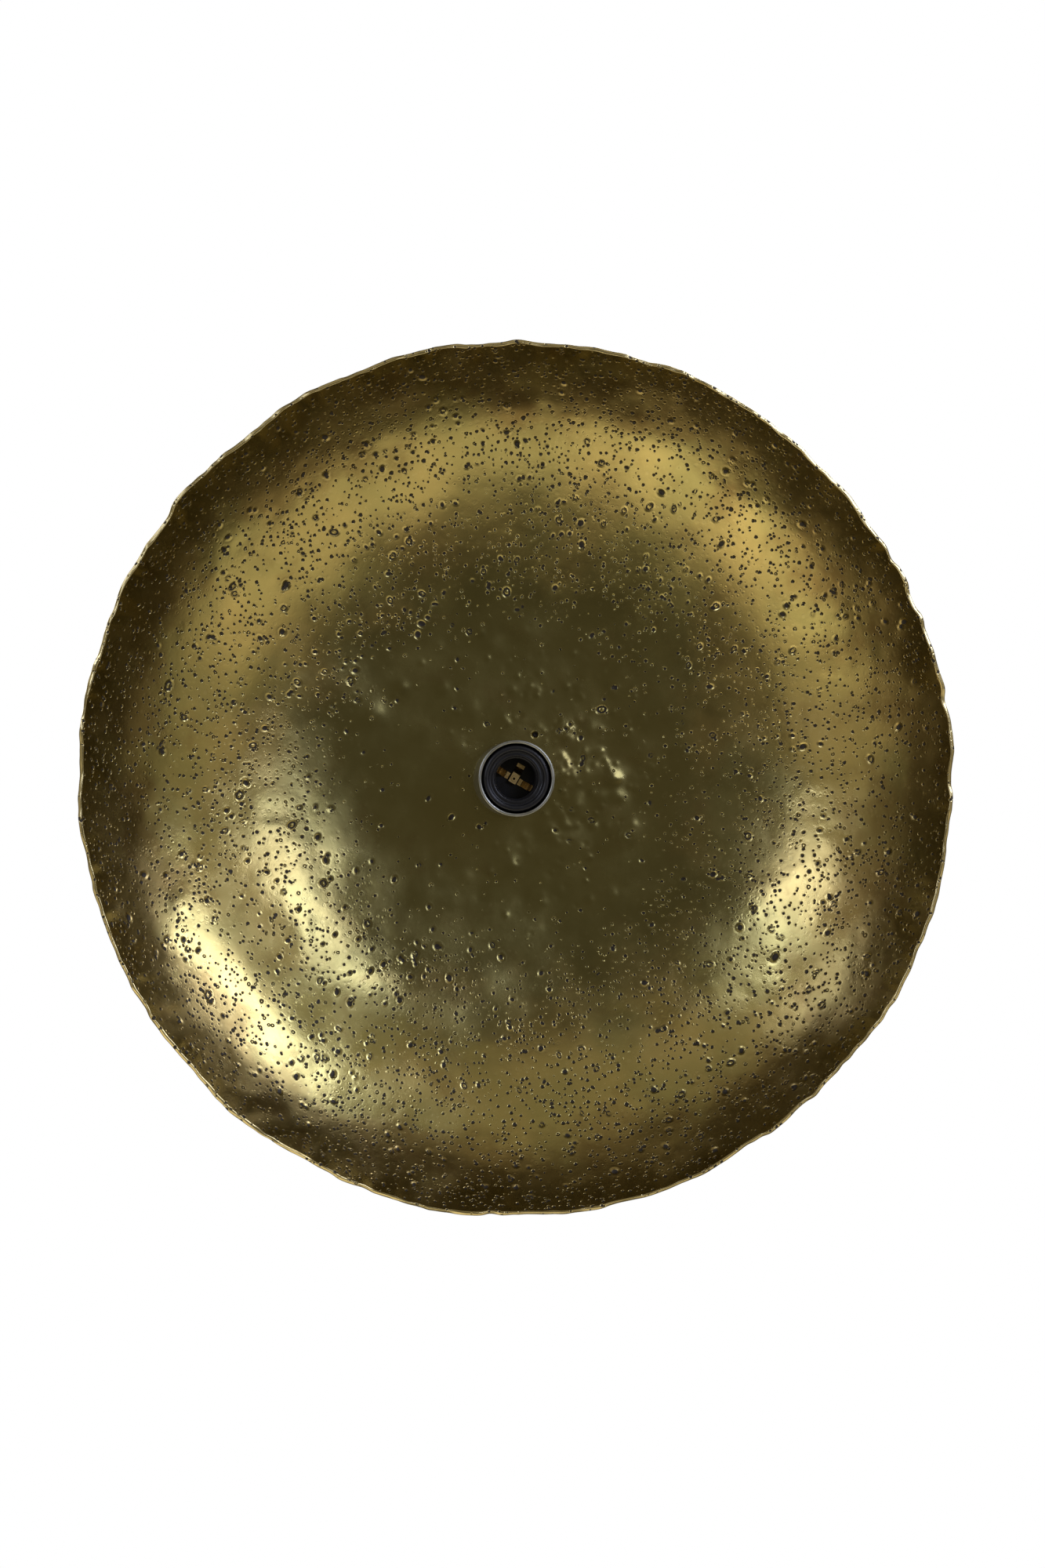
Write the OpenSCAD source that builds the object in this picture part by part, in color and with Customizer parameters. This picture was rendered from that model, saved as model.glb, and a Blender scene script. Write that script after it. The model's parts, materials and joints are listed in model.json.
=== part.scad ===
// Dish lamp for a wall or ceiling.
// A cast metal dish stands round an E27 lampholder. One hollow threaded rod clamps dish, lampholder
// cup and canopy together. The canopy hides the wiring and is held to a wall bracket by two side screws.
// Sizes are in millimetres. Each module is drawn with the wall at z = 0 and the room towards +Z;
// face_room() turns it so that the wall is the plane y = 0, the lamp faces -Y and +Z is up.

/* [Dish] */
// Diameter over the rim
dish_d = 510; // [460:5:560]
// Thickness of the casting
dish_t = 2.5; // [2.5:0.1:4]
// Radius at which the shallow middle meets the steeper side
knee_r = 150; // [130:1:165]
// Slope at that radius, degrees
knee_slope = 19; // [14:0.5:20]
// Slope at the rim, degrees
rim_slope = 60; // [50:1:62]

/* [Canopy and bracket] */
// Diameter of the canopy
canopy_d = 120; // [118:1:130]
// Depth of the canopy, from the wall to its front face
canopy_h = 28; // [28:0.5:34]
// Distance between the slots for the wall screws
slot_spacing = 70; // [66:1:74]
// Length of each slot, end to end
slot_l = 12; // [8:0.5:13]
// Width of each slot
slot_w = 4.6; // [4:0.1:5.2]

/* [Lampholder] */
// Diameter of the metal cup
cup_d = 46.5; // [46.5:0.5:50]
// Height of the metal cup
cup_h = 58; // [58:0.5:62]
// Direction of the side contacts, degrees anticlockwise from the right as seen from the room
contact_angle = 150; // [0:5:355]

/* [Hidden] */
$fn = 96;
nudge = 1;                 // how far a cutter runs past the face that it cuts

// Colours
brass_patina = [0.52, 0.43, 0.20];
bright_brass = [0.80, 0.66, 0.34];
zinc_steel = [0.66, 0.66, 0.65];
cup_metal = [0.58, 0.57, 0.52];
black_plastic = [0.05, 0.05, 0.055];
black_rubber = [0.08, 0.08, 0.08];
white_plastic = [0.88, 0.88, 0.85];

// Canopy and clamped stack, from the wall outwards
canopy_t = 1.5;
canopy_edge_r = 6;
gasket_t = 1.5;
gasket_d = 70;
dish_back = canopy_h + gasket_t;
dish_floor = dish_back + dish_t;
cup_t = 1;
washer_t = 1;
lug_t = 0.8;
nut_h = 4;
nut_across_flats = 14;
rod_hole_r = 5.3;          // clearance hole for the rod
rod_r = 4.95;
rod_bore_r = 3.8;
thread_hole_r = 5;         // tapped hole on the rod
rod_back = 13;
rod_front = dish_floor + 15;
rear_washer_z = canopy_h - canopy_t - lug_t - washer_t;
front_nut_z = dish_floor + cup_t + washer_t;

// Bracket
strap_t = 2;
strap_w = 22;
strap_half = 56.5;
tab_h = 16;
tab_w = 14;
hub_r = 16;
cable_hole_r = 10;
lug_plate_w = 32;
lug_plate_end = 48;
side_screw_z = 9;
side_screw_r = 1.95;
side_screw_hole_r = 2;
side_screw_tip = 50;
side_head_r = 5.5;
side_head_l = 6;
side_washer_t = 0.6;
side_washer_r = 5;
side_head_gap = 0.02;      // running clearance between a side screw's head and its washer
canopy_screw_hole_r = 2.2;
earth_x = -22.5;

// Terminal block
block_y = -36.5;
block_l = 17;
block_pitch = 10;
block_base_h = 8;
block_top = 16;
sleeve_z = 7;
sleeve_r = 2.5;
sleeve_bore_r = 1.6;
tower_r = 3.3;
tower_y = 4.2;
wire_r = 1.1;

// Lampholder, measured from the cup's rim
cup_r = cup_d / 2;
cup_rim = dish_floor + cup_h;
cup_lip_r = cup_r - 2.3;
mouth_z = cup_rim - 0.5;
shell_r = 20.05;
shell_wall = 2.1;
lip_r = 1.85;
face_z = mouth_z - lip_r;
bore_r = 13.3;
sleeve_wall = 2.2;
crest_r = 12.25;
thread_pitch = 3.629;
thread_turns = 4;
thread_flat = 1;
thread_top = face_z - 2.2;
block_rim_z = mouth_z - 22;
floor_z = block_rim_z - 4;
block_under_z = block_rim_z - 8;
skirt_z = block_under_z - 4;
dome_top_r = shell_r - shell_wall - 0.05;
cavity_z = block_under_z - 12;
neck_z = front_nut_z + nut_h + 1;
neck_r = 9.5;
bush_r = 7;
strip_t = 0.5;
foot_top = floor_z + strip_t;
hinge_gap = 0.15;          // room under a sprung tongue where it leaves its foot
foot_gap = 0.45;           // gap between a foot's end and the tongue
rivet_r = 0.8;
side_rivet = 4.4;          // distances of the rivets from the axis
centre_rivet = 8.85;

// Dish profile. The middle is a flat seat, then two arcs steepen towards the rim.
seat_r = canopy_d / 2 + 2;
rim_r = dish_d / 2;
knee_radius = (knee_r - seat_r) / sin(knee_slope);
side_radius = (rim_r - dish_t * sin(rim_slope) - knee_r) / (sin(rim_slope) - sin(knee_slope));
arc_step = 2.5;

function bowl_point(slope, offset) =
    slope <= knee_slope
    ? [seat_r + (knee_radius + offset) * sin(slope),
       dish_floor + knee_radius - (knee_radius + offset) * cos(slope)]
    : [knee_r + side_radius * (sin(slope) - sin(knee_slope)) + offset * sin(slope),
       dish_floor + knee_radius * (1 - cos(knee_slope))
       + side_radius * (cos(knee_slope) - cos(slope)) - offset * cos(slope)];

// One side of the dish's section, from the seat to the rim.
function bowl_side(offset) = concat(
    [for (slope = [0 : arc_step : rim_slope - arc_step / 2]) bowl_point(slope, offset)],
    [bowl_point(rim_slope, offset)]
);

function reversed(list) = [for (i = [len(list) - 1 : -1 : 0]) list[i]];

function arc_points(centre, radius, from, to, steps = 8) =
    [for (i = [0 : steps]) centre + radius * [cos(from + (to - from) * i / steps),
                                              sin(from + (to - from) * i / steps)]];

// Turns a part drawn with the room towards +Z so that it faces -Y.
module face_room() {
    rotate([90, 0, 0]) children();
}

// Turns children so that their X axis runs along the line of the side contacts.
module along_contacts(extra = 0) {
    rotate([0, 0, contact_angle + extra]) children();
}

module ring(outer, inner, z, h, sides = 96) {
    translate([0, 0, z]) difference() {
        cylinder(r = outer, h = h, $fn = sides);
        translate([0, 0, -nudge]) cylinder(r = inner, h = h + 2 * nudge);
    }
}

module hex_nut(z) {
    ring(nut_across_flats / 2 / cos(30), thread_hole_r, z, nut_h, 6);
}

// A flat washer with notches round its edge.
module toothed_washer(z) {
    teeth = 12;
    difference() {
        ring(9, thread_hole_r + 0.1, z, washer_t);
        for (i = [0 : teeth - 1]) rotate([0, 0, i * 360 / teeth])
            translate([7.4, -0.6, z - nudge]) cube([3, 1.2, washer_t + 2 * nudge]);
    }
}

// A cheese-head or pan-head screw along +Z, with its head's underside at z = 0 and a slot in its head.
module slotted_screw(shank_r, shank_l, head_r, head_h) {
    difference() {
        union() {
            translate([0, 0, -shank_l]) cylinder(r = shank_r, h = shank_l + head_h / 2);
            cylinder(r = head_r, h = head_h);
        }
        translate([-head_r - nudge, -head_r / 8, head_h * 0.55])
            cube([2 * head_r + 2 * nudge, head_r / 4, head_h]);
    }
}

module dish() {
    color(brass_patina) rotate_extrude($fn = 256)
        polygon(concat([[rod_hole_r, dish_floor]], bowl_side(0), reversed(bowl_side(dish_t)),
                       [[rod_hole_r, dish_back]]));
}

module dish_gasket() {
    color(black_rubber) ring(gasket_d / 2, rod_hole_r, canopy_h, gasket_t);
}

module canopy() {
    r = canopy_d / 2;
    outside = arc_points([r - canopy_edge_r, canopy_h - canopy_edge_r], canopy_edge_r, 0, 90);
    inside = arc_points([r - canopy_edge_r, canopy_h - canopy_edge_r], canopy_edge_r - canopy_t, 90, 0);
    color(brass_patina) difference() {
        rotate_extrude($fn = 128)
            polygon(concat([[r - canopy_t, 0], [r, 0]], outside,
                           [[rod_hole_r, canopy_h], [rod_hole_r, canopy_h - canopy_t]], inside));
        for (side = [-1, 1]) translate([side * (r - canopy_t - nudge), 0, side_screw_z])
            rotate([0, side * 90, 0]) cylinder(r = canopy_screw_hole_r, h = canopy_t + 2 * nudge, $fn = 48);
    }
}

module slot() {
    travel = slot_l - slot_w;
    for (x = [-travel / 2, travel / 2]) translate([x, 0, -nudge])
        cylinder(r = slot_w / 2, h = strap_t + 2 * nudge, $fn = 48);
    translate([-travel / 2, -slot_w / 2, -nudge]) cube([travel, slot_w, strap_t + 2 * nudge]);
}

// Steel strap on the wall: two bent-up tabs take the side screws, and a tongue carries the terminal block.
module wall_bracket() {
    color(zinc_steel) difference() {
        union() {
            translate([-strap_half, -strap_w / 2, 0]) cube([2 * strap_half, strap_w, strap_t]);
            cylinder(r = hub_r, h = strap_t);
            translate([-lug_plate_w / 2, -lug_plate_end, 0]) cube([lug_plate_w, lug_plate_end, strap_t]);
            for (side = [-1, 1]) translate([side * (strap_half - strap_t / 2), 0, tab_h / 2])
                cube([strap_t, tab_w, tab_h], center = true);
        }
        translate([0, 0, -nudge]) cylinder(r = cable_hole_r, h = strap_t + 2 * nudge);
        for (side = [-1, 1]) {
            translate([side * slot_spacing / 2, 0, 0]) slot();
            translate([side * (strap_half - strap_t - nudge), 0, side_screw_z])
                rotate([0, side * 90, 0]) cylinder(r = side_screw_hole_r, h = strap_t + 2 * nudge, $fn = 48);
        }
        translate([earth_x, 0, -nudge]) cylinder(r = 2, h = strap_t + 2 * nudge, $fn = 48);
        translate([block_pitch / 2, block_y, -nudge]) cylinder(r = 1.5, h = strap_t + 2 * nudge, $fn = 48);
    }
}

// Screw with a domed grip head, through the canopy's side into a bracket tab. side is -1 left, 1 right.
module side_screw(side) {
    r = canopy_d / 2 + side_washer_t + side_head_gap;
    head = concat([[0, r], [side_head_r, r], [side_head_r, r + side_head_l * 0.6]],
                  arc_points([side_head_r - side_head_l * 0.4, r + side_head_l * 0.6],
                             side_head_l * 0.4, 0, 90),
                  [[0, r + side_head_l]]);
    color(brass_patina) translate([0, 0, side_screw_z]) rotate([0, side * 90, 0]) {
        rotate_extrude() polygon(head);
        translate([0, 0, side_screw_tip]) cylinder(r = side_screw_r, h = r - side_screw_tip + nudge);
    }
}

// Fibre washer between a side screw's head and the canopy. It slides out with the screw.
module side_washer(side) {
    color(black_rubber) translate([0, 0, side_screw_z]) rotate([0, side * 90, 0])
        ring(side_washer_r, side_screw_r + 0.05, canopy_d / 2, side_washer_t);
}

module threaded_rod() {
    color(zinc_steel) ring(rod_r, rod_bore_r, rod_back, rod_front - rod_back);
}

module holder_cup() {
    lip = cup_t;
    floor_r = 3;
    outside = arc_points([cup_r - floor_r, dish_floor + floor_r], floor_r, -90, 0);
    inside = arc_points([cup_r - floor_r, dish_floor + floor_r], floor_r - cup_t, 0, -90);
    rim = arc_points([cup_r - lip, cup_rim - lip], lip, 0, 90);
    color(cup_metal) rotate_extrude($fn = 128)
        polygon(concat([[rod_hole_r, dish_floor]], outside, rim,
                       [[cup_lip_r, cup_rim], [cup_lip_r, cup_rim - lip], [cup_r - cup_t, cup_rim - lip]],
                       inside, [[rod_hole_r, dish_floor + cup_t]]));
}

// Rear half of the lampholder: a threaded neck that widens to a shoulder under the shell.
module holder_dome() {
    wall = 1.8;
    shoulder_z = skirt_z - 3;
    color(black_plastic) difference() {
        rotate_extrude()
            polygon([[bush_r, neck_z], [neck_r, neck_z], [neck_r, cavity_z - 1.5],
                     [shell_r, shoulder_z], [shell_r, skirt_z], [dome_top_r, skirt_z],
                     [dome_top_r, block_under_z], [dome_top_r - wall, block_under_z],
                     [dome_top_r - wall, shoulder_z + 1], [neck_r, cavity_z], [bush_r, cavity_z]]);
        grub_hole(1.5);
    }
}

module grub_hole(r) {
    translate([0, 0, neck_z + 4]) rotate([0, 90, 0]) cylinder(r = r, h = neck_r + nudge, $fn = 48);
}

module entry_bush() {
    color(zinc_steel) difference() {
        ring(bush_r, thread_hole_r, neck_z, cavity_z - neck_z);
        grub_hole(1.5);
    }
}

module entry_grub_screw() {
    length = neck_r - thread_hole_r;
    color(zinc_steel) translate([thread_hole_r, 0, neck_z + 4]) rotate([0, 90, 0]) difference() {
        cylinder(r = 1.45, h = length, $fn = 48);
        translate([-0.25, -2, length - 1]) cube([0.5, 4, 2]);
    }
}

// Insulating block that carries the contacts: a disc with a well in its front.
module contact_block() {
    well_r = 12.9;
    color(black_plastic) difference() {
        translate([0, 0, block_under_z]) cylinder(r = dome_top_r - 0.15, h = block_rim_z - block_under_z);
        translate([0, 0, floor_z]) cylinder(r = well_r, h = 10);
        for (at = rivet_places()) translate([at[0], at[1], block_under_z - nudge])
            cylinder(r = rivet_r, h = 10, $fn = 32);
    }
}

function thread_profile() = [
    for (i = [0 : thread_turns - 1]) let (top = thread_top - i * thread_pitch)
        each [[bore_r, top], [crest_r, top - 0.8], [crest_r, top - 0.8 - thread_flat],
              [bore_r, top - 1.6 - thread_flat]]
];

// Front half of the lampholder: outer skirt, rounded lip, and the sleeve with the lamp's screw thread.
module holder_shell() {
    pocket_w = 5.6;
    pocket_z = thread_top - thread_turns * thread_pitch + 3.2;
    lip = arc_points([shell_r - lip_r, face_z], lip_r, 0, 180, 12);
    color(black_plastic) difference() {
        rotate_extrude($fn = 128)
            polygon(concat([[shell_r - shell_wall, skirt_z], [shell_r, skirt_z]], lip,
                           [[bore_r + 0.8, face_z], [bore_r, face_z - 0.8]], thread_profile(),
                           [[bore_r, block_rim_z], [bore_r + sleeve_wall, block_rim_z],
                            [bore_r + sleeve_wall, face_z - 3], [shell_r - shell_wall, face_z - 3]]));
        along_contacts() for (side = [-1, 1])
            translate([side * (crest_r + 1) - 1.4, -pocket_w / 2, block_rim_z - nudge])
                cube([2.8, pocket_w, pocket_z - block_rim_z + nudge]);
    }
}

// A strip of sheet metal: an outline in the X-Z plane, extruded across Y.
module strip(path, width) {
    far_side = [for (i = [0 : len(path) - 1]) path[i] + strip_t * strip_normal(path, i)];
    rotate([90, 0, 0]) translate([0, 0, -width / 2]) linear_extrude(width)
        polygon(concat(path, reversed(far_side)));
}

function unit(v) = v / norm(v);

function strip_normal(path, i) =
    let (t = unit(path[min(i + 1, len(path) - 1)] - path[max(i - 1, 0)])) [-t[1], t[0]];

centre_root = -7.2;        // where the centre tongue leaves its foot, along the line across the contacts
side_root = 6;             // where a side tongue leaves its foot
centre_rise = 3.2;
side_w = 4.2;
centre_w = 5;

// Sprung tongue that presses on the lamp cap's centre, with a dimple under the cap.
module centre_contact() {
    base = floor_z + hinge_gap;
    color(bright_brass) along_contacts(90) difference() {
        union() {
            strip([[centre_root + hinge_gap, base], [-3.4, base + centre_rise],
                   [2.8, base + centre_rise]], centre_w);
            translate([0, 0, base + centre_rise]) cylinder(r = 1.7, h = strip_t + 0.5);
        }
        translate([0, 0, base]) cylinder(r = 0.7, h = 10, $fn = 32);
    }
}

// Sprung tongue that presses on the side of the lamp cap. turn is 0 or 180.
module side_contact(turn) {
    base = floor_z + hinge_gap;
    color(bright_brass) along_contacts(turn)
        strip([[side_root + hinge_gap, base], [10.8, base + 4.6], [11.7, base + 7],
               [11.6, base + 7.6], [12.3, base + 8.6]], side_w);
}

function rivet_places() =
    let (c = contact_angle) concat(
        [for (turn = [0, 180]) side_rivet * [cos(c + turn), sin(c + turn)]],
        [centre_rivet * [cos(c - 90), sin(c - 90)]]
    );

// The fixed end of each contact strip, flat on the block's floor.
module contact_feet() {
    color(bright_brass) difference() {
        union() {
            along_contacts() for (turn = [0, 180]) rotate([0, 0, turn])
                translate([3.3, -side_w / 2, floor_z]) cube([side_root - foot_gap - 3.3, side_w, strip_t]);
            along_contacts(90) translate([-10, -centre_w / 2, floor_z])
                cube([10 + centre_root - foot_gap, centre_w, strip_t]);
        }
        for (at = rivet_places()) translate([at[0], at[1], floor_z - nudge])
            cylinder(r = rivet_r, h = 5, $fn = 32);
    }
}

module contact_rivets() {
    color(bright_brass) for (at = rivet_places()) translate([at[0], at[1], 0]) {
        translate([0, 0, block_under_z]) cylinder(r = rivet_r, h = foot_top - block_under_z, $fn = 32);
        translate([0, 0, foot_top]) cylinder(r = 1.1, h = 0.4, $fn = 32);
    }
}

terminal_in = 5.2;         // inner face of a terminal, from the axis
terminal_out = 11.6;
terminal_h = 6;
terminal_wire_s = 7.2;

// Two brass blocks behind the contact block, each with a hole for a wire and a tapped hole for its screw.
module holder_terminals() {
    bottom = block_under_z - terminal_h;
    color(bright_brass) along_contacts() for (turn = [0, 180]) rotate([0, 0, turn]) difference() {
        translate([terminal_in, -3, bottom]) cube([terminal_out - terminal_in, 6, terminal_h]);
        translate([terminal_wire_s, 0, bottom - nudge]) cylinder(r = 1.3, h = 5, $fn = 32);
        translate([terminal_wire_s, 0, bottom + 2]) rotate([0, 90, 0]) cylinder(r = 1.3, h = 10, $fn = 32);
    }
}

module holder_terminal_screws() {
    color(zinc_steel) along_contacts() for (turn = [0, 180]) rotate([0, 0, turn])
        translate([terminal_out, 0, block_under_z - terminal_h + 2]) rotate([0, 90, 0])
            slotted_screw(1.25, terminal_out - terminal_wire_s - wire_r - 0.2, 2, 1.8);
}

pole_x = [-block_pitch, 0, block_pitch];

module each_pole() {
    for (x = pole_x) translate([x, block_y, 0]) children();
}

module terminal_block() {
    color(white_plastic) difference() {
        union() {
            translate([-1.5 * block_pitch, block_y - block_l / 2, strap_t])
                cube([3 * block_pitch, block_l, block_base_h]);
            each_pole() for (y = [-tower_y, tower_y])
                translate([0, y, strap_t]) cylinder(r = tower_r, h = block_top - strap_t, $fn = 48);
        }
        each_pole() {
            translate([0, block_l / 2 + nudge, sleeve_z]) rotate([90, 0, 0])
                cylinder(r = sleeve_r, h = block_l + 2 * nudge, $fn = 48);
            for (y = [-tower_y, tower_y]) translate([0, y, sleeve_z])
                cylinder(r = 1.9, h = 20, $fn = 48);
        }
        translate([block_pitch / 2, block_y, 0]) cylinder(r = 1.5, h = 20, $fn = 48);
        translate([block_pitch / 2, block_y, strap_t + block_base_h - 1.6]) cylinder(r = 2.6, h = 20, $fn = 48);
    }
}

module terminal_sleeves() {
    length = block_l - 2;
    color(bright_brass) each_pole() difference() {
        translate([0, length / 2, sleeve_z]) rotate([90, 0, 0]) cylinder(r = sleeve_r - 0.05, h = length);
        translate([0, length / 2 + nudge, sleeve_z]) rotate([90, 0, 0])
            cylinder(r = sleeve_bore_r, h = length + 2 * nudge);
        for (y = [-tower_y, tower_y]) translate([0, y, sleeve_z]) cylinder(r = 1.5, h = 5, $fn = 48);
    }
}

module terminal_block_screws() {
    color(zinc_steel) each_pole() for (y = [-tower_y, tower_y]) translate([0, y, sleeve_z + sleeve_r + 2])
        slotted_screw(1.4, sleeve_r + 2 - wire_r - 0.2, 1.8, 1.8);
}

module block_fixing_screw() {
    color(zinc_steel) translate([block_pitch / 2, block_y, strap_t + block_base_h - 1.6])
        slotted_screw(1.45, strap_t + block_base_h - 1.9, 2.5, 1.5);
}

lug_y = -10;               // where the lug's barrel starts
lug_barrel_l = 5;
lug_barrel_z = canopy_h - canopy_t - 1.9;

// Ring terminal clamped under the rear washer, with a crimp barrel for the earth wire.
module earth_lug() {
    top = canopy_h - canopy_t;
    color(bright_brass) difference() {
        union() {
            translate([0, 0, top - lug_t]) cylinder(r = 8.5, h = lug_t);
            translate([-2.2, lug_y - 1, top - lug_t]) cube([4.4, 5, lug_t]);
            translate([0, lug_y, lug_barrel_z]) rotate([90, 0, 0]) cylinder(r = 1.8, h = lug_barrel_l);
        }
        translate([0, 0, top - lug_t - nudge]) cylinder(r = rod_hole_r, h = 5);
        translate([0, lug_y + nudge, lug_barrel_z]) rotate([90, 0, 0])
            cylinder(r = wire_r + 0.1, h = lug_barrel_l + 2 * nudge, $fn = 32);
    }
}

module earth_screw() {
    color(zinc_steel) translate([earth_x, 0, 0]) {
        ring(4.6, 2.2, strap_t, 0.8);
        translate([0, 0, strap_t + 0.8]) slotted_screw(1.95, strap_t + 0.4, 3.8, 2.4);
    }
}

// Wire routes, each from a terminal in the lampholder or the earth lug to a pole of the terminal block.
function contact_side(s, z) = [s * cos(contact_angle), s * sin(contact_angle), z];

function holder_end(side) = [
    contact_side(side * terminal_wire_s, block_under_z - 2.6),
    contact_side(side * terminal_wire_s, block_under_z - terminal_h),
    contact_side(side * 6, block_under_z - terminal_h - 2),
    contact_side(side * 3.4, cavity_z + 2.2),
    contact_side(side * 1.6, rod_front),
    contact_side(side * 1.5, rod_front - 5),
    contact_side(side * 1.5, 28),
    contact_side(side * 1.5, 19),
    contact_side(side * 1.5, 14.5)
];

live_route = concat(holder_end(1),
    [[-1.9, -1, 11.4], [-2.8, -4, 8.6], [-4.5, -9, 7.2], [-7.6, -16, 7], [-9.7, -22, 7],
     [-10, -27, 7], [-10, -33, 7]]);
neutral_route = concat(holder_end(-1),
    [[1.9, -2.6, 11.4], [2.9, -5.4, 8.6], [4.6, -10, 7.2], [7.6, -16, 7], [9.7, -22, 7],
     [10, -27, 7], [10, -33, 7]]);
earth_route =
    [[0, lug_y - 1, lug_barrel_z], [0, lug_y - lug_barrel_l, lug_barrel_z],
     [0, -17.6, lug_barrel_z - 1], [0, -19.6, lug_barrel_z - 4], [0, -20, 16], [0, -20.4, 12],
     [0, -22.2, 8.6], [0, -25, 7.2], [0, -28, 7], [0, -33, 7]];

// Catmull-Rom curve through the points of a route, with a few steps between each two.
function on_curve(a, b, c, d, t) =
    0.5 * (2 * b + (c - a) * t + (2 * a - 5 * b + 4 * c - d) * t * t + (3 * b - a - 3 * c + d) * t * t * t);

function smooth(p, steps = 3) = concat(
    [for (i = [0 : len(p) - 2], k = [0 : steps - 1])
        on_curve(p[max(i - 1, 0)], p[i], p[i + 1], p[min(i + 2, len(p) - 1)], k / steps)],
    [p[len(p) - 1]]
);

wire_sides = 10;

// A round wire along a curve whose direction is never along X.
module wire(route) {
    p = smooth(route);
    n = len(p);
    m = wire_sides;
    rings = [for (i = [0 : n - 1])
        let (t = unit(p[min(i + 1, n - 1)] - p[max(i - 1, 0)]),
             u = unit([1, 0, 0] - t[0] * t),
             v = cross(t, u))
        for (k = [0 : m - 1]) p[i] + wire_r * (cos(k * 360 / m) * u + sin(k * 360 / m) * v)];
    sides = [for (i = [0 : n - 2], k = [0 : m - 1])
        [i * m + k, i * m + (k + 1) % m, (i + 1) * m + (k + 1) % m, (i + 1) * m + k]];
    ends = [[for (k = [m - 1 : -1 : 0]) k], [for (k = [0 : m - 1]) (n - 1) * m + k]];
    polyhedron(points = rings, faces = concat([for (f = sides) reversed(f)], [for (f = ends) reversed(f)]),
               convexity = 6);
}

module wire_live() {
    color([0.32, 0.17, 0.08]) wire(live_route);
}

module wire_neutral() {
    color([0.10, 0.25, 0.62]) wire(neutral_route);
}

module wire_earth() {
    color([0.30, 0.55, 0.12]) wire(earth_route);
}

face_room() dish();
face_room() dish_gasket();
face_room() canopy();
face_room() wall_bracket();
face_room() side_screw(-1);  // side_screw_left
face_room() side_screw(1);  // side_screw_right
face_room() side_washer(-1);  // side_washer_left
face_room() side_washer(1);  // side_washer_right
face_room() threaded_rod();
face_room() color(zinc_steel) hex_nut(rear_washer_z - nut_h);  // rear_lock_nut
face_room() color(zinc_steel) toothed_washer(rear_washer_z);  // rear_lock_washer
face_room() color(zinc_steel) hex_nut(front_nut_z);  // front_lock_nut
face_room() color(zinc_steel) toothed_washer(front_nut_z - washer_t);  // front_lock_washer
face_room() holder_cup();
face_room() holder_dome();
face_room() entry_bush();
face_room() entry_grub_screw();
face_room() contact_block();
face_room() holder_shell();
face_room() centre_contact();
face_room() side_contact(0);  // side_contact_left
face_room() side_contact(180);  // side_contact_right
face_room() contact_feet();
face_room() contact_rivets();
face_room() holder_terminals();
face_room() holder_terminal_screws();
face_room() terminal_block();
face_room() terminal_sleeves();
face_room() terminal_block_screws();
face_room() block_fixing_screw();
face_room() earth_lug();
face_room() earth_screw();
face_room() wire_live();
face_room() wire_neutral();
face_room() wire_earth();
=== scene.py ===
"""Looks for the dish lamp: a pitted cast-brass dish, a screw-cap lampholder, a canopy and its fittings.

Everything is in metres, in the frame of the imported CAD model: the wall is the plane y = 0, the lamp faces -Y
and +Z is up. Pieces are drawn in a lamp frame whose third axis points out of the wall, and to_row() turns
them. Sizes are in millimetres and multiplied by MM where Blender takes metres.
"""

import json
import math

import bpy
import numpy as np
from mathutils import Matrix, Vector


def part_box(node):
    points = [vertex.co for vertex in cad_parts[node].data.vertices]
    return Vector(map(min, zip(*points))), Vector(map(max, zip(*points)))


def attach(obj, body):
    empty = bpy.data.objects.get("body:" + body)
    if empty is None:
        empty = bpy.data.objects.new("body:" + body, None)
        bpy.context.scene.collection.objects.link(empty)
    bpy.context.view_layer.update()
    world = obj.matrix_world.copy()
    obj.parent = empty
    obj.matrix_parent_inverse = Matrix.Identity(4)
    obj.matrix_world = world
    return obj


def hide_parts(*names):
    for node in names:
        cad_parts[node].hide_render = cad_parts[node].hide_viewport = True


MM = 0.001
TAU = 2 * math.pi

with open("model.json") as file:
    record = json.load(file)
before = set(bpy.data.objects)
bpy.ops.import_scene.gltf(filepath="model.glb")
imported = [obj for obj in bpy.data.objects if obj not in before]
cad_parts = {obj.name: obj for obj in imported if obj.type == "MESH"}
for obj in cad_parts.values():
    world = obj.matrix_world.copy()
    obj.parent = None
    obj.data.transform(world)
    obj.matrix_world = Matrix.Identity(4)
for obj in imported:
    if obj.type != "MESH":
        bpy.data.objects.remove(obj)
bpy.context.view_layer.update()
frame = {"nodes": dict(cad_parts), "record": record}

# ---------------------------------------------------------------- sizes, in millimetres, read from the frame


def depth_of(node):
    """(back, front) distances of a node from the wall, in millimetres."""
    lo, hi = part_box(node)
    return -hi.y / MM, -lo.y / MM


def radius_of(node):
    """Largest distance of a node from the lamp's axis along X, in millimetres."""
    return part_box(node)[1].x / MM


DISH_R = radius_of("dish")
DISH_BACK, DISH_RIM = depth_of("dish")
CUP_R = radius_of("holder_cup")
DISH_FLOOR, CUP_RIM = depth_of("holder_cup")
DISH_T = DISH_FLOOR - DISH_BACK
CANOPY_R = radius_of("canopy")
SHELL_R = radius_of("holder_shell")
SKIRT_Z, MOUTH_Z = depth_of("holder_shell")
BLOCK_RIM = depth_of("contact_block")[1]
FLOOR_Z = depth_of("contact_feet")[0]
ROD_BACK, ROD_FRONT = depth_of("threaded_rod")
ROD_R = radius_of("threaded_rod")
ROD_HOLE_R = 5.3

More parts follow.
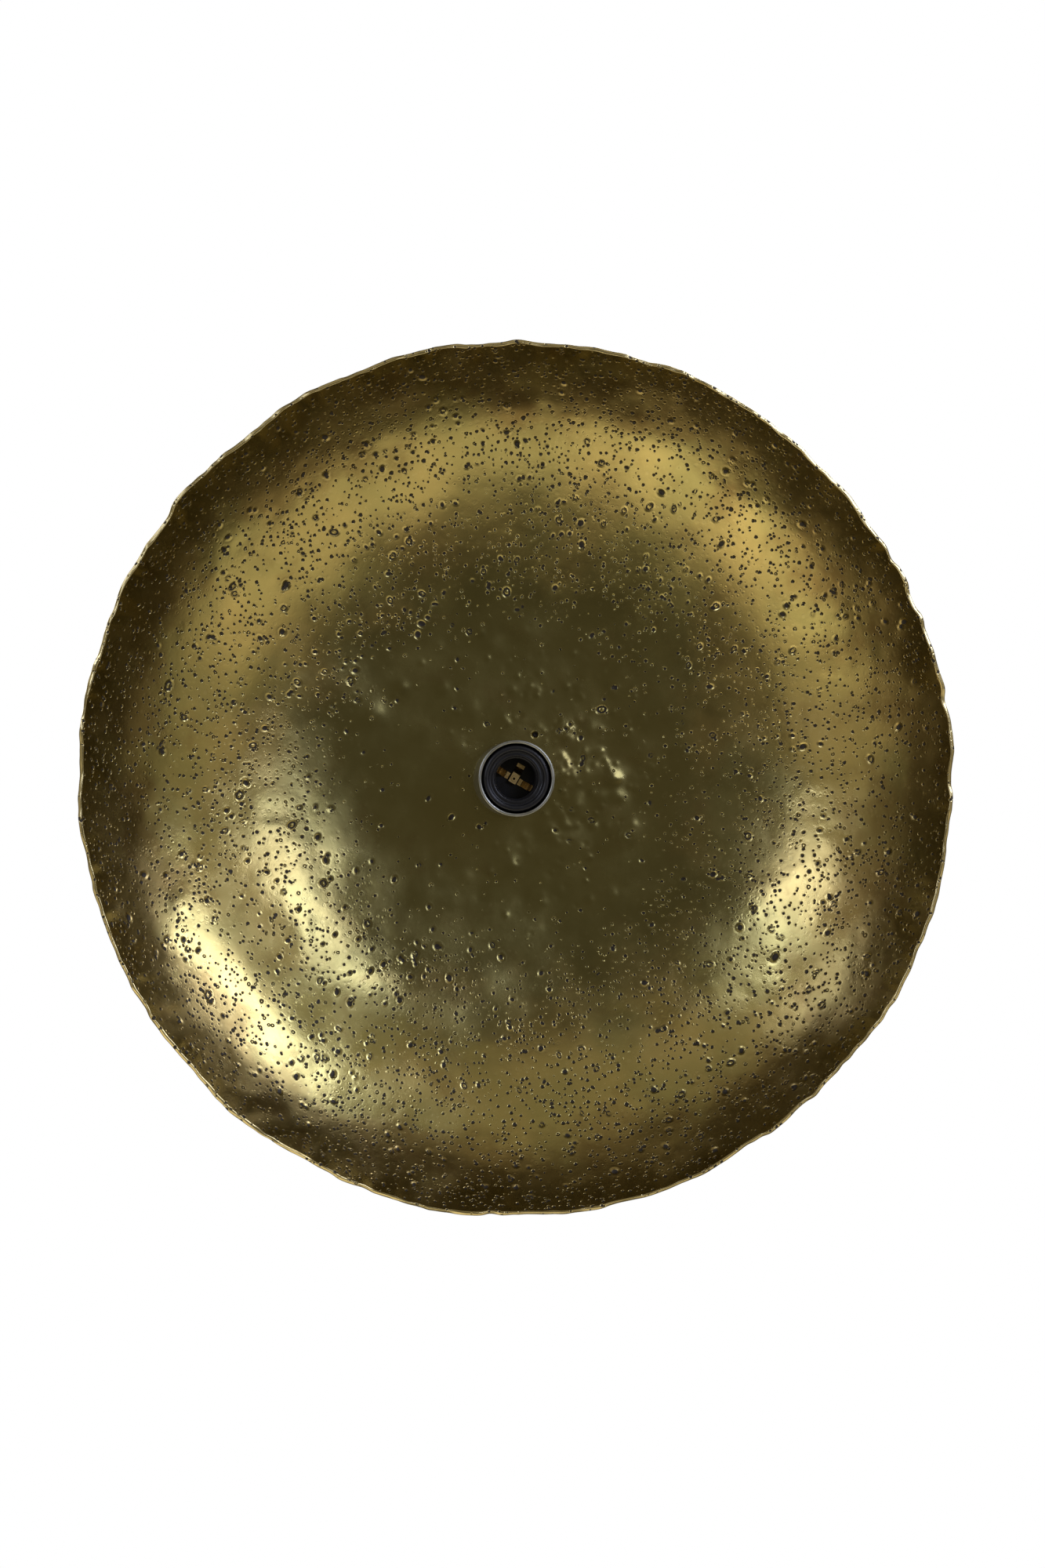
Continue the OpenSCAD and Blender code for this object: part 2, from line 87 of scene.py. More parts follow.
# The dish's section, as in the CAD source: a flat seat and two arcs that steepen towards the rim.
SEAT_R = CANOPY_R + 2
KNEE_R = 150.0
KNEE_SLOPE = math.radians(19)
RIM_SLOPE = math.radians(60)
KNEE_RADIUS = (KNEE_R - SEAT_R) / math.sin(KNEE_SLOPE)
SIDE_RADIUS = (DISH_R - DISH_T * math.sin(RIM_SLOPE) - KNEE_R) / (math.sin(RIM_SLOPE) - math.sin(KNEE_SLOPE))

# Direction of the side contacts, anticlockwise from the right as seen from the room.
CONTACT_ANGLE = math.radians(150)


# ---------------------------------------------------------------- mesh helpers


def to_row(points):
    """Turns points of the lamp frame, in millimetres, into the row frame in metres."""
    p = np.asarray(points, float).reshape(-1, 3)
    return np.stack([p[:, 0], -p[:, 2], p[:, 1]], axis=1) * MM


def mesh_piece(name, points, faces, material, attributes=None):
    """A smooth-shaded mesh object from lamp-frame points and face arrays of shape (count, corners)."""
    mesh = bpy.data.meshes.new(name)
    groups = [np.asarray(f, np.int32) for f in faces if len(f)]
    co = to_row(points).astype(np.float32)
    mesh.vertices.add(len(co))
    mesh.vertices.foreach_set("co", co.ravel())
    corners = np.concatenate([g.ravel() for g in groups])
    sizes = np.concatenate([np.full(len(g), g.shape[1], np.int32) for g in groups])
    starts = np.concatenate([[0], np.cumsum(sizes)[:-1]]).astype(np.int32)
    mesh.loops.add(len(corners))
    mesh.loops.foreach_set("vertex_index", corners)
    mesh.polygons.add(len(sizes))
    mesh.polygons.foreach_set("loop_start", starts)
    mesh.polygons.foreach_set("loop_total", sizes)
    mesh.polygons.foreach_set("use_smooth", np.full(len(sizes), True))
    for key, values in (attributes or {}).items():
        mesh.attributes.new(key, "FLOAT", "POINT").data.foreach_set("value", np.asarray(values, np.float32))
    mesh.update(calc_edges=True)
    mesh.validate()
    piece = bpy.data.objects.new(name, mesh)
    bpy.context.scene.collection.objects.link(piece)
    mesh.materials.append(material)
    return piece


def stand_for(piece, body, node):
    """The piece rides on a body and is shown in place of a CAD node."""
    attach(piece, body)
    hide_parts(node)
    return piece


def sharpen(piece, degrees=35):
    """Keeps edges sharper than an angle crisp."""
    bpy.context.view_layer.objects.active = piece
    piece.select_set(True)
    bpy.ops.object.shade_smooth_by_angle(angle=math.radians(degrees))
    piece.select_set(False)
    return piece


def lattice_noise(points, cell, seed):
    """Smooth value noise from -1 to 1 at points in millimetres, with features about a cell across."""
    rng = np.random.default_rng(seed)
    q = np.asarray(points, float) / cell
    q = q - q.min(axis=0)
    base = np.floor(q).astype(int)
    f = q - base
    f = f * f * f * (f * (f * 6 - 15) + 10)
    grid = rng.uniform(-1, 1, size=tuple(base.max(axis=0) + 2))
    total = np.zeros(len(q))
    for corner in range(8):
        bits = [(corner >> k) & 1 for k in range(3)]
        weight = np.prod([f[:, k] if bits[k] else 1 - f[:, k] for k in range(3)], axis=0)
        total += weight * grid[base[:, 0] + bits[0], base[:, 1] + bits[1], base[:, 2] + bits[2]]
    return total


def ramp01(x, lo, hi):
    """0 at lo, 1 at hi and smooth between; lo may be above hi."""
    t = np.clip((x - lo) / (hi - lo), 0, 1)
    return t * t * (3 - 2 * t)


def join_rings(first, n, second, m):
    """Faces between a ring of n points from index first and one of m from second; m is n, 2n or n/2."""
    if m == n:
        k = np.arange(n)
        k1 = (k + 1) % n
        return [np.stack([first + k, first + k1, second + k1, second + k], axis=1)]
    if m == 2 * n:
        k = np.arange(n)
        k1 = (k + 1) % n
        a, b = first + k, first + k1
        c, d, e = second + 2 * k, second + 2 * k + 1, second + (2 * k + 2) % m
        return [np.stack([a, d, c], axis=1), np.stack([a, b, d], axis=1), np.stack([b, e, d], axis=1)]
    return [f[:, ::-1] for f in join_rings(second, m, first, n)]


def lathe(path, segments):
    """Points and faces of a closed profile of (r, z) turned round the axis. An r may be an array, one for
    each segment, where the radius changes on the way round. Profiles run anticlockwise, r to the right."""
    angles = np.arange(segments) * TAU / segments
    rings = []
    for r, z in path:
        r = np.broadcast_to(np.asarray(r, float), (segments,))
        rings.append(np.stack([r * np.cos(angles), r * np.sin(angles), np.full(segments, float(z))], axis=1))
    faces = []
    for i in range(len(rings)):
        faces += join_rings(i * segments, segments, (i + 1) % len(rings) * segments, segments)
    return np.concatenate(rings), [np.concatenate(faces)]


def arc(cx, cz, radius, start, end, steps=6):
    """Points of an arc in a profile, angles in degrees."""
    t = np.radians(np.linspace(start, end, steps + 1))
    return [(cx + radius * math.cos(a), cz + radius * math.sin(a)) for a in t]


def thread(inner, outer, pitch, z_from, z_to, segments, steps, fade, knuckle=False):
    """Rings of a right-hand screw thread between two radii, fading to the inner one at both ends. A bore's
    thread has inner above outer. A knuckle thread is round in form, and any other sharp with narrow flats."""
    angles = np.arange(segments) * TAU / segments
    rings = []
    count = max(2, int(abs(z_to - z_from) / pitch * steps))
    low, high = min(z_from, z_to), max(z_from, z_to)
    for z in np.linspace(z_from, z_to, count + 1):
        phase = (z / pitch - angles / TAU) % 1.0
        if knuckle:
            form = 0.5 + 0.5 * np.cos(TAU * phase)
        else:
            form = np.clip(1.2 - 2.5 * np.abs(phase - 0.5), 0, 1)
        amount = ramp01(z, low, low + fade * pitch) * ramp01(z, high, high - fade * pitch)
        rings.append((inner + (outer - inner) * form * amount, z))
    return rings


def turned(name, path, segments, material, node):
    """A turned piece on the lamp's axis, which rides on the lamp and stands for a CAD node."""
    points, faces = lathe(path, segments)
    return stand_for(sharpen(mesh_piece(name, points, faces, material)), "lamp", node)


# ---------------------------------------------------------------- materials


class Look:
    """A node material with short calls for the nodes that it needs."""

    def __init__(self, name, metallic=0.0, roughness=0.5, **sockets):
        self.material = bpy.data.materials.new(name)
        self.material.use_nodes = True
        self.tree = self.material.node_tree
        self.shader = self.tree.nodes["Principled BSDF"]
        self.shader.inputs["Metallic"].default_value = metallic
        self.shader.inputs["Roughness"].default_value = roughness
        for key, value in sockets.items():
            self.shader.inputs[key.replace("_", " ")].default_value = value
        self.where = self.node("ShaderNodeTexCoord").outputs["Object"]
        self.wavering = self.where

    def node(self, kind, **settings):
        made = self.tree.nodes.new(kind)
        for key, value in settings.items():
            setattr(made, key, value)
        return made

    def put(self, socket, value):
        """Links an output to a socket, or sets it to a plain value. None leaves the socket as it is."""
        if hasattr(value, "is_output"):
            self.tree.links.new(value, socket)
        elif value is not None:
            socket.default_value = value

    def stretched(self, scale):
        """Object coordinates with each axis scaled."""
        mapping = self.node("ShaderNodeMapping")
        self.put(mapping.inputs["Vector"], self.where)
        mapping.inputs["Scale"].default_value = scale
        return mapping.outputs["Vector"]

    def waver(self, scale, distance):
        """Makes the outlines of later pits irregular by moving their coordinates about."""
        cloud = self.node("ShaderNodeTexNoise")
        self.put(cloud.inputs["Vector"], self.where)
        cloud.inputs["Scale"].default_value = scale
        shift = self.node("ShaderNodeVectorMath", operation="MULTIPLY_ADD")
        self.put(shift.inputs[0], cloud.outputs["Color"])
        shift.inputs[1].default_value = (distance, distance, distance)
        self.put(shift.inputs[2], self.where)
        self.wavering = shift.outputs["Vector"]

    def off_axis(self):
        """Distance from the lamp's axis, in metres."""
        length = self.node("ShaderNodeVectorMath", operation="LENGTH")
        self.put(length.inputs[0], self.stretched((1, 0, 1)))
        return length.outputs["Value"]

    def noise(self, scale, detail=3.0, rough=0.5, where=None, distortion=0.0):
        made = self.node("ShaderNodeTexNoise")
        self.put(made.inputs["Vector"], where or self.where)
        made.inputs["Scale"].default_value = scale
        made.inputs["Detail"].default_value = detail
        made.inputs["Roughness"].default_value = rough
        made.inputs["Distortion"].default_value = distortion
        return made.outputs["Fac"]

    def attribute(self, name):
        return self.node("ShaderNodeAttribute", attribute_name=name).outputs["Fac"]

    def span(self, value, lo, hi, to_lo=0.0, to_hi=1.0):
        """Maps lo..hi to to_lo..to_hi, clamped and smooth; lo may be above hi."""
        made = self.node("ShaderNodeMapRange", interpolation_type="SMOOTHSTEP")
        given = {"Value": value, "From Min": lo, "From Max": hi, "To Min": to_lo, "To Max": to_hi}
        for key, v in given.items():
            self.put(made.inputs[key], v)
        return made.outputs["Result"]

    def math(self, operation, a, b=None):
        made = self.node("ShaderNodeMath", operation=operation)
        self.put(made.inputs[0], a)
        self.put(made.inputs[1], b)
        return made.outputs["Value"]

    def blend(self, factor, a, b):
        """A colour from a, where factor is 0, to b, where it is 1."""
        made = self.node("ShaderNodeMix", data_type="RGBA")
        self.put(made.inputs["Factor"], factor)
        self.put(made.inputs["A"], a if hasattr(a, "is_output") else (*a, 1))
        self.put(made.inputs["B"], b if hasattr(b, "is_output") else (*b, 1))
        return made.outputs["Result"]

    def bump(self, height, distance, after=None):
        made = self.node("ShaderNodeBump")
        made.inputs["Distance"].default_value = distance
        self.put(made.inputs["Height"], height)
        self.put(made.inputs["Normal"], after)
        return made.outputs["Normal"]

    def pits(self, spacing, share, smallest, largest, hollow):
        """Scattered pits as (pit, lip), each 0 to 1. spacing is in metres, and the sizes are shares of it.
        share is the part of the places that have a pit. Those whose draw passes hollow are rings round a
        clean middle."""
        cells = self.node("ShaderNodeTexVoronoi")
        self.put(cells.inputs["Vector"], self.wavering)
        cells.inputs["Scale"].default_value = 1 / spacing
        draws = self.node("ShaderNodeSeparateColor")
        self.put(draws.inputs["Color"], cells.outputs["Color"])
        there = self.span(self.math("ADD", draws.outputs["Red"], share), 1.0, 1.1)
        size = self.math("MULTIPLY", there, self.span(draws.outputs["Green"], 0, 1, smallest, largest))
        t = self.math("DIVIDE", cells.outputs["Distance"], self.math("ADD", size, 0.001))
        pit = self.span(t, 1.0, 0.5)
        ringed = self.math("MULTIPLY", self.math("GREATER_THAN", draws.outputs["Blue"], hollow),
                           self.span(t, 0.62, 0.3))
        pit = self.math("MULTIPLY", pit, self.math("SUBTRACT", 1.0, self.math("MULTIPLY", ringed, 0.85)))
        lip = self.math("MULTIPLY", self.span(t, 0.85, 1.12), self.span(t, 1.6, 1.15))
        return pit, lip

    def finish(self, color=None, metallic=None, roughness=None, normal=None):
        """Sets the shader's sockets that are given and returns the material."""
        given = {"Base Color": color, "Metallic": metallic, "Roughness": roughness, "Normal": normal}
        for key, value in given.items():
            self.put(self.shader.inputs[key], value)
        return self.material


BRASS_GOLD = (0.43, 0.335, 0.124)
BRASS_OLIVE = (0.32, 0.275, 0.102)
# Dark brass for the painted shade in the dish's middle.
BRASS_CENTRE_SHADE = (0.27, 0.232, 0.086)
# Brown for the painted shade of the dish's edge band, and for stains.
BRASS_BROWN = (0.225, 0.158, 0.056)
# Bright brass for the worn rim and for painted highlights on pit lips.
BRASS_BRIGHT = (0.72, 0.62, 0.33)
PATINA = (0.022, 0.016, 0.010)


def aged_brass(name, cast, pitting):
    """Antique brass: cloudy gold and olive, with dark pits. The middle is darkened as a painted reflection of
    the dark room in front, the edge band is browned as painted shade of the rim's deep reflections mixed with
    random stains, and pit lips get a faint painted highlight. A cast piece also reads the marks that its mesh
    carries. pitting scales the number of pits."""
    look = Look(name, metallic=1.0)
    cloud = look.span(look.noise(13, 4, 0.5), 0.36, 0.66)
    color = look.blend(cloud, BRASS_OLIVE, BRASS_GOLD)
    radius = look.off_axis()
    edge = look.math("ADD", radius, look.span(look.noise(20, 5, 0.6), 0.3, 0.7, -0.020, 0.020))
    # Painted reflection: the middle is darkened, standing in for the dark room in front that it reflects.
    color = look.blend(look.span(edge, 0.146, 0.112, 0.0, 0.85), color, BRASS_CENTRE_SHADE)
    # Painted shade: towards the rim the colour turns brown, standing in for the darker, redder reflections of
    # the steep wall; the noise adds random stain patches.
    stain = look.span(look.noise(38, 5, 0.6, distortion=0.5), 0.52, 0.78, 0.0, 0.45)
    outer = look.math("ADD", look.span(edge, 0.204, 0.238, 0.0, 0.78), stain)
    color = look.blend(look.math("MINIMUM", outer, 1.0), color, BRASS_BROWN)

    look.waver(380, 0.0010)
    crowd = look.noise(26, 3, 0.55)
    spread = look.span(radius, 0.078, 0.158, 0.20 * pitting, 1.30 * pitting)
    share = look.math("MULTIPLY", look.span(crowd, 0.34, 0.60, 0.50, 1.15), spread)
    small, small_lip = look.pits(0.0041, share, 0.22, 0.35, 0.7)
    large_share = look.math("MULTIPLY", look.span(crowd, 0.38, 0.66, 0.16, 0.85), spread)
    large, large_lip = look.pits(0.0066, large_share, 0.17, 0.26, 0.55)
    tiny_share = look.math("MULTIPLY", look.span(look.noise(44, 3, 0.55), 0.38, 0.64, 0.10, 0.70), spread)
    tiny, tiny_lip = look.pits(0.0033, tiny_share, 0.22, 0.34, 1.0)
    pit = look.math("MAXIMUM", look.math("MAXIMUM", small, tiny), large)
    lip = look.math("MAXIMUM", look.math("MAXIMUM", small_lip, tiny_lip), large_lip)
    height = look.math("SUBTRACT", look.math("MULTIPLY", lip, 0.06), pit)
    if cast:
        pit = look.math("MAXIMUM", pit, look.span(look.attribute("patina"), 0.25, 0.75))
        # wear_and_glint lightens the worn rim and paints a faint highlight on the lips of the large pits.
        color = look.blend(look.math("MULTIPLY", look.attribute("wear_and_glint"), 0.55), color, BRASS_BRIGHT)
    dark = look.span(pit, 0.30, 0.85)
    # Painted highlight: the lips of all pits are lightened a little.
    color = look.blend(look.math("MULTIPLY", lip, 0.06), color, BRASS_BRIGHT)
    color = look.blend(dark, color, PATINA)
    rough = look.span(look.noise(34, 5, 0.55), 0.30, 0.72, 0.20, 0.30)
    rough = look.math("ADD", rough, look.math("MULTIPLY", dark, 0.30))
    metallic = look.span(dark, 0.3, 1.0, 1.0, 0.35)
    normal = look.bump(look.noise(120, 3, 0.5), 0.00010)
    normal = look.bump(height, 0.00032, after=normal)
    return look.finish(color, metallic, rough, normal)


def worn_metal(name, color, tint, stain, roughness):
    """Plated or turned metal: fine turning marks, faint clouds of tint and a little stain."""
    look = Look(name, metallic=1.0)
    shade = look.blend(look.span(look.noise(90, 4), 0.35, 0.7), color, tint)
    shade = look.blend(look.span(look.noise(210, 5, 0.7), 0.58, 0.75, 0.0, 0.6), shade, stain)
    marks = look.noise(600, 3, 0.6, where=look.stretched((0.25, 1.6, 0.25)))
    rough = look.span(marks, 0.25, 0.75, roughness * 0.75, roughness * 1.35)
    return look.finish(shade, None, rough, look.bump(marks, 0.00002))


def moulded_plastic(name, color, roughness, dust=(0.25, 0.25, 0.25), grain=1500, shine=0.5):
    """Moulded plastic with a fine spark-eroded grain, slight gloss changes and a trace of dust."""
    look = Look(name, roughness=roughness, Specular_IOR_Level=shine)
    shade = look.blend(look.span(look.noise(130, 4, 0.6), 0.55, 0.85, 0.0, 0.10), color, dust)
    rough = look.span(look.noise(260, 4, 0.6), 0.3, 0.7, roughness * 0.8, roughness * 1.25)
    return look.finish(shade, None, rough, look.bump(look.noise(grain, 2, 0.6), 0.00002))


def insulation(name, one, other=None):
    """Wire insulation with a soft sheen, bare copper strands at its ends, and a lengthwise stripe if it has
    another colour."""
    look = Look(name, roughness=0.42)
    shade = look.blend(look.span(look.noise(240, 3), 0.4, 0.8, 0.0, 0.18), one, (0.3, 0.3, 0.3))
    if other is not None:
        shade = look.blend(look.span(look.attribute("stripe"), 0.45, 0.55), shade, other)
    bare = look.attribute("bare")
    shade = look.blend(bare, shade, (0.80, 0.42, 0.25))
    strands = look.noise(2600, 2, where=look.stretched((1, 0.3, 1)))
    normal = look.bump(look.math("MULTIPLY", strands, bare), 0.0001)
    return look.finish(shade, bare, look.span(bare, 0, 1, 0.42, 0.30), normal)


CAST_BRASS = aged_brass("cast_brass", cast=True, pitting=1)
CANOPY_BRASS = aged_brass("canopy_brass", cast=False, pitting=0.3)
SCREW_BRASS = worn_metal("screw_brass", (0.40, 0.31, 0.12), BRASS_OLIVE, BRASS_BROWN, 0.30)
CUP_METAL = worn_metal("cup_metal", (0.34, 0.34, 0.31), (0.27, 0.27, 0.23), (0.16, 0.15, 0.12), 0.36)
CONTACT_BRASS = worn_metal("contact_brass", (0.80, 0.62, 0.30), (0.66, 0.47, 0.20), (0.35, 0.22, 0.09), 0.30)
ZINC_STEEL = worn_metal("zinc_steel", (0.62, 0.62, 0.61), (0.54, 0.56, 0.58), (0.42, 0.40, 0.36), 0.34)
BLACK_PLASTIC = moulded_plastic("black_plastic", (0.010, 0.010, 0.012), 0.32, dust=(0.05, 0.05, 0.06),
                                shine=0.3)
BLACK_RUBBER = moulded_plastic("black_rubber", (0.018, 0.018, 0.018), 0.72, dust=(0.12, 0.11, 0.10))
BLACK_FIBRE = moulded_plastic("black_fibre", (0.035, 0.030, 0.026), 0.80, dust=(0.15, 0.13, 0.10), grain=800)
WHITE_PLASTIC = moulded_plastic("white_plastic", (0.78, 0.77, 0.72), 0.42, dust=(0.60, 0.57, 0.50))
BROWN_WIRE = insulation("brown_wire", (0.15, 0.06, 0.025))
BLUE_WIRE = insulation("blue_wire", (0.02, 0.09, 0.38))
EARTH_WIRE = insulation("green_yellow_wire", (0.05, 0.28, 0.05), (0.75, 0.62, 0.05))


# ---------------------------------------------------------------- the cast dish

FINE_RING = 1536           # points in a ring where the dish is widest
RING_STEP = 0.95           # distance between rings on the inside, in millimetres
BACK_STEP = 2.0            # the same on the back
PIT_COUNT = 620            # pits large enough for the mesh; the smaller ones are in the material
LUMP_COUNT = 260
DEEP_HOLE = (15.8, 28.1)   # place of one deep round hole beside the lampholder
DEEP_HOLE_R = 2.3
DEEP_HOLE_DEPTH = 2.4
RNG = np.random.default_rng(7)


def dish_section(slope, offset):
    """(r, z) of the dish's section at a slope, offset from its inside face towards the wall."""
    slope = np.asarray(slope, float)
    low = slope <= KNEE_SLOPE
    s, c = np.sin(slope), np.cos(slope)
    knee_z = DISH_FLOOR + KNEE_RADIUS * (1 - math.cos(KNEE_SLOPE))
    r = np.where(low, SEAT_R + (KNEE_RADIUS + offset) * s,
                 KNEE_R + SIDE_RADIUS * (s - math.sin(KNEE_SLOPE)) + offset * s)
    z = np.where(low, DISH_FLOOR + KNEE_RADIUS - (KNEE_RADIUS + offset) * c,
                 knee_z + SIDE_RADIUS * (math.cos(KNEE_SLOPE) - c) - offset * c)
    return r, z


def slope_at(radius):
    """Slope of the dish's section at a radius."""
    low = np.clip((radius - SEAT_R) / KNEE_RADIUS, 0, 1)
    high = math.sin(KNEE_SLOPE) + np.clip((radius - KNEE_R) / SIDE_RADIUS, 0, 1)
    return np.arcsin(np.clip(np.where(radius < KNEE_R, low, high), 0, math.sin(RIM_SLOPE)))


def face_rings(offset, step, facing):
    """Evenly spaced rings of one face, from the rod's hole to the rim, as rows of r, z and the normal's r
    and z."""
    slope = np.linspace(0, RIM_SLOPE, 2000)
    r, z = dish_section(slope, offset)
    r = np.concatenate([[ROD_HOLE_R], r])
    z = np.concatenate([[z[0]], z])
    slope = np.concatenate([[0.0], slope])
    length = np.concatenate([[0], np.cumsum(np.hypot(np.diff(r), np.diff(z)))])
    at = np.linspace(0, length[-1], int(length[-1] / step) + 1)
    slope = np.interp(at, length, slope)
    return np.array([np.interp(at, length, r), np.interp(at, length, z),
                     -facing * np.sin(slope), facing * np.cos(slope)])


def rim_rings(steps=8):
    """Rings over the rounded rim, from the inside face to the back, with the same rows."""
    r0, z0 = (float(v) for v in dish_section(RIM_SLOPE, DISH_T / 2))
    across = np.array([-math.sin(RIM_SLOPE), math.cos(RIM_SLOPE)])
    along = np.array([math.cos(RIM_SLOPE), math.sin(RIM_SLOPE)])
    rows = []
    for t in np.linspace(0, math.pi, steps + 2)[1:-1]:
        side = math.copysign(abs(math.cos(t)) ** 0.45, math.cos(t)) * DISH_T / 2
        out = abs(math.sin(t)) ** 0.7 * DISH_T * 0.35
        place = np.array([r0, z0]) + side * across + out * along
        rows.append([*place, *(math.cos(t) * across + math.sin(t) * along)])
    return np.array(rows).T


def ring_count(r, finest):
    """Points in a ring of radius r: halved each time the radius halves."""
    count = finest
    while count > 96 and r < DISH_R * 0.5 * count / finest:
        count //= 2
    return count


def scatter_pits(count):
    """Seeded large pits on the inside: angle, distance along the section, radius, depth, stretch, turn and
    whether it is a ring round a clean middle."""
    r, z = face_rings(0, 0.5, 1)[:2]
    length = np.concatenate([[0], np.cumsum(np.hypot(np.diff(r), np.diff(z)))])
    tries = count * 5
    radius = np.sqrt(RNG.uniform((28 / DISH_R) ** 2, 0.97, tries)) * r[-1]
    angle = RNG.uniform(0, TAU, tries)
    points = np.stack([radius * np.cos(angle), radius * np.sin(angle), np.interp(radius, r, z)], axis=1)
    crowd = 0.45 * lattice_noise(points, 34, 11) + 0.35 * lattice_noise(points, 85, 12)
    crowd += 0.35 * lattice_noise(points, 13, 13)
    chance = np.clip(0.36 + 0.62 * crowd, 0.03, 1) * (0.45 + 0.55 * ramp01(radius, 60, 150))
    keep = RNG.uniform(0, 1, tries) < chance
    found = []
    for a, rad in zip(angle[keep][:count], radius[keep][:count]):
        size = float(np.clip(RNG.lognormal(math.log(1.6), 0.20), 1.3, 2.6))
        found.append((a, np.interp(rad, r, length), size, size * RNG.uniform(0.22, 0.42),
                      RNG.uniform(1.0, 1.5), RNG.uniform(0, math.pi), RNG.uniform() < 0.3))
    x, y = DEEP_HOLE
    at = np.interp(math.hypot(x, y), r, length)
    found.append((math.atan2(y, x), at, DEEP_HOLE_R, DEEP_HOLE_DEPTH, 1.0, 0.0, False))
    return found


def stamp_pits(pits, rings, heights, patina, wear_and_glint):
    """Presses pits into the height of each ring's points, marks patina in them and paints a faint highlight on
    their lips.
    """
    start = np.array([ring["at"] for ring in rings])
    for angle, at, size, depth, stretch, turn, hollow in pits:
        reach = size * stretch * 1.5
        first, last = np.searchsorted(start, [at - reach, at + reach])
        for ring in rings[first:last]:
            n, r = ring["n"], ring["r"]
            half = reach / r * n / TAU
            centre = angle * n / TAU
            k = np.arange(math.ceil(centre - half), math.floor(centre + half) + 1)
            if not len(k):
                continue
            u = (k * TAU / n - angle) * r
            v = ring["at"] - at
            a = (u * math.cos(turn) + v * math.sin(turn)) / stretch
            b = -u * math.sin(turn) + v * math.cos(turn)
            rho = np.hypot(a, b) / size
            if hollow:
                press = np.exp(-(((rho - 0.72) / 0.26) ** 2))
            else:
                press = ramp01(rho, 1.05, 0.35)
            lip = np.exp(-(((rho - 1.22) / 0.17) ** 2))
            index = ring["first"] + k % n
            heights[index] += -depth * press + 0.16 * depth * lip
            patina[index] = np.maximum(patina[index], press)
            # Painted highlight: a faint glint on each pit's lip.
            wear_and_glint[index] = np.maximum(wear_and_glint[index], 0.15 * lip)


def lumps(points):
    """Heights of the casting's raised lumps and hollows, crowded to the right of the lampholder."""
    heights = np.zeros(len(points))
    for i in range(LUMP_COUNT):
        angle = RNG.normal(0.2, 1.0)
        distance = RNG.uniform(31, 98)
        x, y = distance * math.cos(angle), distance * math.sin(angle)
        broad = i % 5 == 0
        size = RNG.uniform(5.0, 9.0) if broad else RNG.uniform(1.7, 3.6)
        height = RNG.uniform(0.3, 0.9) if broad else RNG.uniform(0.10, 0.42)
        height *= 1 if RNG.uniform() < 0.72 else -0.7
        near = np.flatnonzero((abs(points[:, 0] - x) < 3 * size) & (abs(points[:, 1] - y) < 3 * size))
        d2 = ((points[near, 0] - x) ** 2 + (points[near, 1] - y) ** 2) / size ** 2
        heights[near] += height * np.exp(-1.4 * d2)
    return heights


def faces_by_size(faces):
    """Face arrays gathered by their number of corners."""
    gathered = []
    for corners in (3, 4):
        same = [f for f in faces if f.shape[1] == corners]
        if same:
            gathered.append(np.concatenate(same))
    return gathered


def cast_dish():
    """The dish as one closed casting: dented and pitted inside, a wavy rim and a plainer back."""
    sections = [("inside", face_rings(0, RING_STEP, 1), FINE_RING),
                ("rim", rim_rings(), FINE_RING),
                ("back", face_rings(DISH_T, BACK_STEP, -1)[:, ::-1], FINE_RING // 2)]
    rings = []
    blocks = []
    first = 0
    for part, section, finest in sections:
        along = np.concatenate([[0], np.cumsum(np.hypot(np.diff(section[0]), np.diff(section[1])))])
        for (r, z, nr, nz), at in zip(section.T, along):
            n = ring_count(r, finest)
            angle = np.arange(n) * TAU / n
            one = np.ones(n)
            blocks.append(np.stack([r * np.cos(angle), r * np.sin(angle), z * one,
                                    nr * np.cos(angle), nr * np.sin(angle), nz * one,
                                    angle, r * one, (part == "inside") * one, (part == "rim") * one], axis=1))
            rings.append({"first": first, "n": n, "r": r, "at": at, "part": part})
            first += n
    faces = []
    for a, b in zip(rings, rings[1:] + rings[:1]):
        faces += join_rings(a["first"], a["n"], b["first"], b["n"])
    table = np.concatenate(blocks)
    points, normals = table[:, :3], table[:, 3:6]
    angle, radius = table[:, 6], table[:, 7]
    inside, on_rim = table[:, 8] > 0, table[:, 9] > 0

    heights = np.where(inside, lumps(points), 0.0)
    patina = np.zeros(len(points))
    wear_and_glint = np.zeros(len(points))
    inside_rings = [ring for ring in rings if ring["part"] == "inside"]
    stamp_pits(scatter_pits(PIT_COUNT), inside_rings, heights, patina, wear_and_glint)
    beaten = 0.05 * lattice_noise(points, 9, 21) + 0.30 * lattice_noise(points, 18, 22) ** 3
    heights += np.where(inside, beaten, 2.5 * beaten) * ramp01(radius, 26, 40)

    # Broad dents go through the casting, so both faces share them.
    dent = 1.25 * lattice_noise(points, 58, 31) + 0.40 * lattice_noise(points, 26, 32)
    dent *= ramp01(radius, CANOPY_R, CANOPY_R + 40)
    slope = slope_at(radius)
    s, c = np.sin(slope), np.cos(slope)
    inward = np.stack([-s * np.cos(angle), -s * np.sin(angle), c], axis=1)
    outward = np.stack([c * np.cos(angle), c * np.sin(angle), s], axis=1)
    edge = ramp01(radius, DISH_R - 20, DISH_R - 1)
    around = points * [1, 1, 0]
    wave = 1.6 * lattice_noise(around, 15, 41) + 0.7 * lattice_noise(around, 7, 42)
    lean = 1.0 * lattice_noise(around, 30, 43) + 0.5 * lattice_noise(around, 9, 44)
    moved = (points + normals * heights[:, None] + inward * (dent + edge * lean)[:, None]
             + outward * (edge * wave)[:, None])
    wear_and_glint = np.where(on_rim, 0.9, wear_and_glint)
    piece = mesh_piece("cast_dish", moved, faces_by_size(faces), CAST_BRASS,
                       attributes={"patina": patina, "wear_and_glint": np.clip(wear_and_glint, 0, 1)})
    return stand_for(piece, "lamp", "dish")


